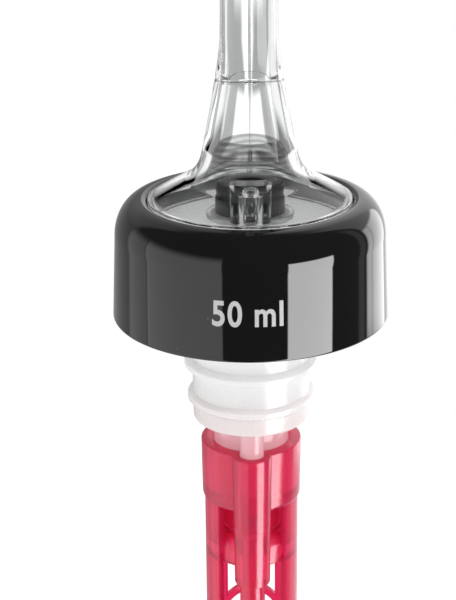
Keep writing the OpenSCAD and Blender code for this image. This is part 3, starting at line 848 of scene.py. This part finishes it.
class POURER_OT_tail(bpy.types.Operator):
    """Makes the red timing tail: cup, neck and dome, two legs, rear web, breather boss and snorkel, and its plug"""

    bl_idname = "pourer.tail"
    bl_label = "Timing tail and plug"

    def legs(self):
        """The two legs: a slim upright outline carried along the arcs that the windows leave."""
        inner = LEG_R - LEG_T
        top_z = -40.85
        end_z = -78.94
        soft = 0.18
        outline = rounded([[inner, end_z], [LEG_R, end_z], [LEG_R, top_z], [inner, top_z]], soft, 4)
        spans = [(-44.0, 52.0), (128.0, 224.0)]
        return [skin(turned(outline, STEM_AXIS, np.radians(np.linspace(a, b, 49))), True, False) for a, b in spans]

    def web(self):
        """The rear web: a small outline of arch radius p and wall radius q carried along the arch angle w, with
        x = p cos w, z = web height + p sin w, and y on the wall, the root of q squared less x squared."""
        web_z = -69.3
        inner = LEG_R - LEG_T
        low_p = 5.1
        high_p = 6.5
        soft = 0.2
        p, q = rounded([[low_p, inner], [high_p, inner], [high_p, LEG_R], [low_p, LEG_R]], soft, 4).T
        w = np.radians(np.linspace(152.0, 28.0, 41))
        x = p[:, None] * np.cos(w)
        y = STEM_AXIS[1] + np.sqrt(np.maximum(q[:, None] ** 2 - x ** 2, 0.0))
        return skin(np.stack([x, y, web_z + p[:, None] * np.sin(w)], -1), True, False)

    def execute(self, context):
        cup_r = 8.0
        cup_inset = 1.0
        cup_round = 0.9
        cup_soft = 0.25
        neck_r = 4.87
        dome_r = CHAMBER_R + 1.6
        dome_h = 2.6
        soft = 0.2
        body = np.concatenate([
            [[0.0, DOME_END_Z], [dome_r - soft, DOME_END_Z], [dome_r, DOME_END_Z + soft]],
            arc((neck_r, DOME_Z - dome_h), dome_r - neck_r, dome_h, 0, 90, 20),
            [[neck_r, CUP_END_Z]],
            arc((cup_r - cup_inset, CUP_END_Z + cup_round), cup_round, cup_round, -90, 0, 10),
            arc((cup_r - cup_soft, CUP_Z - cup_soft), cup_soft, cup_soft, 0, 90, 6),
            [[0.0, CUP_Z]],
        ])
        boss_end_r = 2.53
        boss_top_r = 2.93
        boss_round = 0.3
        boss = np.concatenate([
            [[0.0, BOSS_END_Z]],
            arc((boss_end_r, BOSS_END_Z + boss_round), boss_round, boss_round, -90, 0, 6),
            arc((boss_top_r, CUP_Z - soft), soft, soft, 0, 90, 5),
            [[0.0, CUP_Z]],
        ])
        chamber_r = 6.4625
        chamber = rounded([
            [0.0, CHAMBER_END_Z], [chamber_r, CHAMBER_END_Z], [chamber_r, CHAMBER_TOP_Z], [0.0, CHAMBER_TOP_Z],
        ], [0.0, 0.2, 0.3, 0.0], 5)
        snorkel_r = 2.0
        snorkel_top_z = BOSS_END_Z + 1.0
        snorkel = rounded([
            [0.0, SNORKEL_END_Z], [snorkel_r, SNORKEL_END_Z], [snorkel_r, snorkel_top_z], [0.0, snorkel_top_z],
        ], [0.0, 0.2, 0.0, 0.0], 5)
        neck_bore = 3.2
        seat_h = 2.384
        chamber_out_z = CHAMBER_END_Z - PAST
        neck_out_z = CUP_FLOOR_Z + PAST
        bore = solid([
            [0.0, chamber_out_z], [CHAMBER_R, chamber_out_z], [CHAMBER_R, DOME_Z - seat_h], [neck_bore, DOME_Z],
            [neck_bore, neck_out_z], [0.0, neck_out_z],
        ], STEM_AXIS)
        air_r = 1.0
        air_slope = math.radians(52.0)
        air_seat_z = BREATHER_SEAT_Z + (SOCKET_R - air_r) * math.tan(air_slope)
        snorkel_out_z = SNORKEL_END_Z - PAST
        cup_out_z = CUP_Z + PAST
        air = solid([
            [0.0, snorkel_out_z], [air_r, snorkel_out_z], [air_r, BREATHER_SEAT_Z], [SOCKET_R, air_seat_z],
            [SOCKET_R, cup_out_z], [0.0, cup_out_z],
        ], BREATHER_AXIS)
        joined = plus(*self.legs(), self.web(), solid(chamber, STEM_AXIS), solid(boss, BREATHER_AXIS),
                      solid(snorkel, BREATHER_AXIS))
        cup_bore = bar(STEM_R + FIT, CUP_FLOOR_Z, CUP_Z, STEM_AXIS, soft)
        steps = joined + less(cup_bore, bore, air)
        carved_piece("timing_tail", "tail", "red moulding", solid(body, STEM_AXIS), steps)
        plug_r = CHAMBER_R - FIT
        port_r = 0.8
        outline = rounded([
            [port_r, PLUG_END_Z], [chamber_r, PLUG_END_Z], [chamber_r, CHAMBER_END_Z], [plug_r, CHAMBER_END_Z],
            [plug_r, PLUG_TOP_Z], [port_r, PLUG_TOP_Z],
        ], [0.15, 0.3, 0.1, 0.0, 0.3, 0.15], 5)
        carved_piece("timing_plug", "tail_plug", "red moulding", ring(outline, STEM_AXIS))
        return {"FINISHED"}


class POURER_OT_measure(bpy.types.Operator):
    """Prints a plain measure on the front of the collar"""

    bl_idname = "pourer.measure"
    bl_label = "Printed measure"

    def letters(self, context):
        """Mesh of the words, lying flat, cut into upright slices so that it can bend round the collar."""
        slices = 42
        curve = bpy.data.curves.new("measure", "FONT")
        curve.body = "50 ml"
        curve.offset = 0.022
        curve.space_character = 1.1
        curve.extrude = 0.5
        words = bpy.data.objects.new("measure", curve)
        context.scene.collection.objects.link(words)
        context.view_layer.update()
        mesh = bpy.data.meshes.new_from_object(words.evaluated_get(context.evaluated_depsgraph_get()))
        bpy.data.objects.remove(words)
        bpy.data.curves.remove(curve)
        work = bmesh.new()
        work.from_mesh(mesh)
        bmesh.ops.remove_doubles(work, verts=work.verts, dist=1e-5)
        across = [v.co.x for v in work.verts]
        for x in np.linspace(min(across), max(across), slices)[1:-1]:
            bmesh.ops.bisect_plane(work, geom=work.verts[:] + work.edges[:] + work.faces[:],
                                   plane_co=(x, 0.0, 0.0), plane_no=(1.0, 0.0, 0.0))
        work.to_mesh(mesh)
        work.free()
        return mesh

    def execute(self, context):
        """Each point's share of the words' box becomes a turn round the collar, a height on it and a radius on its
        wall, which goes in a straight line from the rim to the shoulder."""
        sizes = context.scene.pourer_sizes
        ink_t = 0.03
        aside = -0.035
        mesh = self.letters(context)
        flat = np.empty(len(mesh.vertices) * 3, np.float32)
        mesh.vertices.foreach_get("co", flat)
        flat = flat.reshape(-1, 3).astype(float)
        low, high = flat.min(0), flat.max(0)
        share = (flat - (low + high) / 2.0) / (high - low)
        z = (sizes.print_middle + share[:, 1] * sizes.print_height) / MM
        wall = RIM_R + (SHOULDER_R - RIM_R) * (z - RIM_Z - RIM_ROUND) / (FLANGE_Z - RIM_Z - RIM_ROUND)
        radius = wall + share[:, 2] * ink_t
        turn = FRONT + aside + share[:, 0] * sizes.print_width / MM / RIM_R
        bent = np.stack([radius * np.cos(turn), radius * np.sin(turn), z], -1) * MM
        mesh.vertices.foreach_set("co", bent.astype(np.float32).ravel())
        mesh.update()
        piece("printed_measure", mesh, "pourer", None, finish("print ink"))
        return {"FINISHED"}


# Studio


def window(tree, angle, low, high, soft):
    """Mask that is 1 between two angles, with soft edges, all in degrees."""
    rise = ramp(tree, angle, low - soft, low + soft)
    fall = ramp(tree, angle, high - soft, high + soft, 1.0, 0.0)
    return maths(tree, "MULTIPLY", rise, fall)


def cards(tree, bearing, height, base, panels):
    """Studio of cards: a base level plus, for each panel, its strength times its masks of bearing and height."""
    level = base
    for left, right, side_soft, low, high, end_soft, strength in panels:
        side = window(tree, bearing, left, right, side_soft)
        rise = window(tree, height, low, high, end_soft)
        level = maths(tree, "MULTIPLY_ADD", maths(tree, "MULTIPLY", side, rise), strength, level)
    return level


# Each panel: from and to bearing with its softness, from and to height with its softness, strength. A bearing is 0
# on the camera's side and grows to the right; all angles are in degrees.
REFLECTED_BASE = 0.1
REFLECTED = [
    # Walls and panel at the left
    (-200.0, -122.0, 3.0, -100.0, 14.0, 9.0, 0.3),
    (-122.0, -96.0, 3.0, -100.0, 14.0, 9.0, 0.85),
    (-96.0, -24.0, 0.8, -100.0, 14.0, 9.0, 1.4),
    (-190.0, -122.0, 6.0, 16.0, 56.0, 8.0, 0.4),
    # Bright strip at the front right
    (30.0, 70.5, 0.7, -100.0, 4.0, 1.2, 10.2),
    # Line, bright band with a dark line, and wall at the right
    (101.0, 109.0, 2.0, -60.0, 40.0, 12.0, 0.3),
    (113.0, 150.0, 2.0, -24.0, 16.0, 3.0, 2.5),
    (113.0, 150.0, 2.0, -60.0, 60.0, 12.0, 0.8),
    (120.0, 124.0, 1.0, -24.0, 16.0, 3.0, -0.7),
    (150.0, 190.0, 3.0, -60.0, 60.0, 12.0, 1.1),
]
SEEN_THROUGH_BASE = 1.0
SEEN_THROUGH = [
    # Greys at both sides
    (-118.0, -62.0, 10.0, -70.0, 6.0, 6.0, -0.4),
    (70.0, 110.0, 10.0, -70.0, 6.0, 6.0, -0.25),
    # Grey panels behind the slim tube, with a narrow white gap
    (-177.0, -134.0, 1.2, -70.0, -10.9, 1.2, -0.6),
    (157.0, 177.3, 1.2, -70.0, -10.9, 1.2, -0.6),
    (177.3, 190.0, 1.2, -70.0, -10.9, 1.2, 0.35),
    (-190.0, -177.0, 1.2, -70.0, -10.9, 1.2, 0.35),
    # Grey panels behind the neck, with a wide white gap
    (-169.5, -149.0, 1.5, -10.9, 80.0, 1.2, -0.5),
    (154.0, 169.5, 1.5, -10.9, 80.0, 1.2, -0.5),
    (169.5, 190.0, 1.5, -10.9, 80.0, 1.2, 0.35),
    (-190.0, -169.5, 1.5, -10.9, 80.0, 1.2, 0.35),
    # Dim ceiling
    (-200.0, 200.0, 1.0, 8.0, 100.0, 6.0, -0.75),
]


class POURER_OT_studio(bpy.types.Operator):
    """Makes the pale floor, the soft studio light and the camera"""

    bl_idname = "pourer.studio"
    bl_label = "Studio"

    def world(self, scene):
        """White to the camera, even to matt surfaces, and a studio of cards to gloss and to clear plastic."""
        matt_share = 0.8
        world = bpy.data.worlds.new("studio")
        scene.world = world
        world.use_nodes = True
        tree = world.node_tree
        tree.nodes.clear()
        way = node(tree, "ShaderNodeTexCoord").outputs["Generated"]
        x, y, z = node(tree, "ShaderNodeSeparateXYZ", {0: way}).outputs[:]
        bearing = maths(tree, "DEGREES", maths(tree, "ARCTAN2", x, maths(tree, "MULTIPLY", y, -1.0)))
        height = maths(tree, "DEGREES", maths(tree, "ARCSINE", z))
        reflected = cards(tree, bearing, height, REFLECTED_BASE, REFLECTED)
        through = cards(tree, bearing, height, SEEN_THROUGH_BASE, SEEN_THROUGH)
        path = node(tree, "ShaderNodeLightPath").outputs
        fill = scene.pourer_studio.fill
        matt = maths(tree, "GREATER_THAN", path["Diffuse Depth"], 0.5)
        through = mixed(tree, matt, through, fill * matt_share, "FLOAT")
        level = fill
        for flag, value in (("Is Glossy Ray", reflected), ("Is Transmission Ray", through), ("Is Camera Ray", 1.0)):
            level = mixed(tree, path[flag], level, value, "FLOAT")
        light = node(tree, "ShaderNodeBackground", {"Color": grey(1.0), "Strength": level})
        node(tree, "ShaderNodeOutputWorld", {"Surface": light.outputs["Background"]})

    def floor(self, scene):
        """Round floor that is white to the camera where it is lit, and keeps the part's shadow."""
        radius = scene.pourer_sizes.floor_radius / MM
        gap = 0.02
        thick = 1.0
        paper_grey = 0.8
        seen_grey = 0.42
        seen_glow = 0.72
        top_z = PLUG_END_Z - gap
        low_z = top_z - thick
        made = raw_object("floor", solid([[0.0, low_z], [radius, low_z], [radius, top_z], [0.0, top_z]]))
        made.visible_glossy = False
        paper = bpy.data.materials.new("pale floor")
        paper.use_nodes = True
        tree = paper.node_tree
        tree.nodes.clear()
        path = node(tree, "ShaderNodeLightPath").outputs
        seen = maths(tree, "MAXIMUM", path["Is Camera Ray"], path["Is Transmission Ray"])
        lit = node(tree, "ShaderNodeBsdfDiffuse", {"Color": grey(paper_grey)}).outputs["BSDF"]
        thin = node(tree, "ShaderNodeBsdfDiffuse", {"Color": grey(seen_grey)}).outputs["BSDF"]
        glow = node(tree, "ShaderNodeEmission", {"Strength": seen_glow}).outputs["Emission"]
        white = node(tree, "ShaderNodeAddShader", {0: thin, 1: glow}).outputs["Shader"]
        both = node(tree, "ShaderNodeMixShader", {0: seen, 1: lit, 2: white}).outputs["Shader"]
        node(tree, "ShaderNodeOutputMaterial", {"Surface": both})
        made.data.materials.append(paper)

    def lamp(self, scene):
        """One large soft lamp at the front right, above the part."""
        aim = Vector((0.0, 0.0, -0.02))
        data = bpy.data.lights.new("key", "AREA")
        data.energy = scene.pourer_studio.key
        data.size = 0.35
        made = bpy.data.objects.new("key", data)
        made.location = (0.34, -0.36, 0.34)
        made.rotation_euler = (aim - made.location).to_track_quat("-Z", "Y").to_euler()
        made.visible_glossy = False
        made.visible_transmission = False
        scene.collection.objects.link(made)

    def camera(self, scene):
        """Camera at the photograph's angle, for an image of 456 by 600."""
        pitch = math.radians(20.53)
        distance = 247.8
        aside = -3.485
        target_z = -8.0
        roll = math.radians(0.6)
        data = bpy.data.cameras.new("camera")
        data.sensor_width = 36.0
        data.lens = 96.0
        data.clip_start = 0.01
        data.clip_end = 10.0
        made = bpy.data.objects.new("camera", data)
        ahead = Vector((0.0, math.cos(pitch), -math.sin(pitch)))
        side = Vector((1.0, 0.0, 0.0))
        up = side.cross(ahead)
        tilted_up = up * math.cos(roll) + side * math.sin(roll)
        tilted_side = ahead.cross(tilted_up)
        place = Vector((aside, 0.0, target_z)) - ahead * distance
        turn = Matrix((tilted_side, tilted_up, -ahead)).transposed()
        made.matrix_world = Matrix.Translation(place * MM) @ turn.to_4x4()
        scene.collection.objects.link(made)
        scene.camera = made

    def execute(self, context):
        scene = context.scene
        self.world(scene)
        self.floor(scene)
        self.lamp(scene)
        self.camera(scene)
        scene.view_settings.view_transform = "Standard"
        scene.cycles.max_bounces = 32
        scene.cycles.glossy_bounces = 16
        scene.cycles.transmission_bounces = 24
        return {"FINISHED"}


PIECES = (POURER_OT_collar, POURER_OT_stopper, POURER_OT_spout, POURER_OT_stem, POURER_OT_cage, POURER_OT_balls,
          POURER_OT_tail, POURER_OT_measure, POURER_OT_studio)


class POURER_PT_panel(bpy.types.Panel):
    """Lists the pourer's sizes, colours, light and makers"""

    bl_idname = "POURER_PT_panel"
    bl_label = "Measured Pourer"
    bl_space_type = "VIEW_3D"
    bl_region_type = "UI"
    bl_category = "Pourer"

    def draw(self, context):
        scene = context.scene
        for group in (scene.pourer_sizes, scene.pourer_colours, scene.pourer_studio):
            for name in group.__annotations__:
                self.layout.prop(group, name)
        for maker in PIECES:
            self.layout.operator(maker.bl_idname)


GROUPS = {"pourer_sizes": PourerSizes, "pourer_colours": PourerColours, "pourer_studio": PourerStudio}
CLASSES = (*GROUPS.values(), *PIECES, POURER_PT_panel)


def register():
    """Registers the classes and hangs the property groups on the scene."""
    for kind in CLASSES:
        bpy.utils.register_class(kind)
    for name, kind in GROUPS.items():
        setattr(bpy.types.Scene, name, bpy.props.PointerProperty(type=kind))


def unregister():
    """Takes the property groups off the scene and unregisters the classes."""
    for name in GROUPS:
        delattr(bpy.types.Scene, name)
    for kind in reversed(CLASSES):
        bpy.utils.unregister_class(kind)


def main():
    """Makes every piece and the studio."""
    register()
    bpy.ops.pourer.collar()
    bpy.ops.pourer.stopper()
    bpy.ops.pourer.spout()
    bpy.ops.pourer.stem()
    bpy.ops.pourer.cage()
    bpy.ops.pourer.balls()
    bpy.ops.pourer.tail()
    bpy.ops.pourer.measure()
    bpy.ops.pourer.studio()


if __name__ == "__main__":
    main()
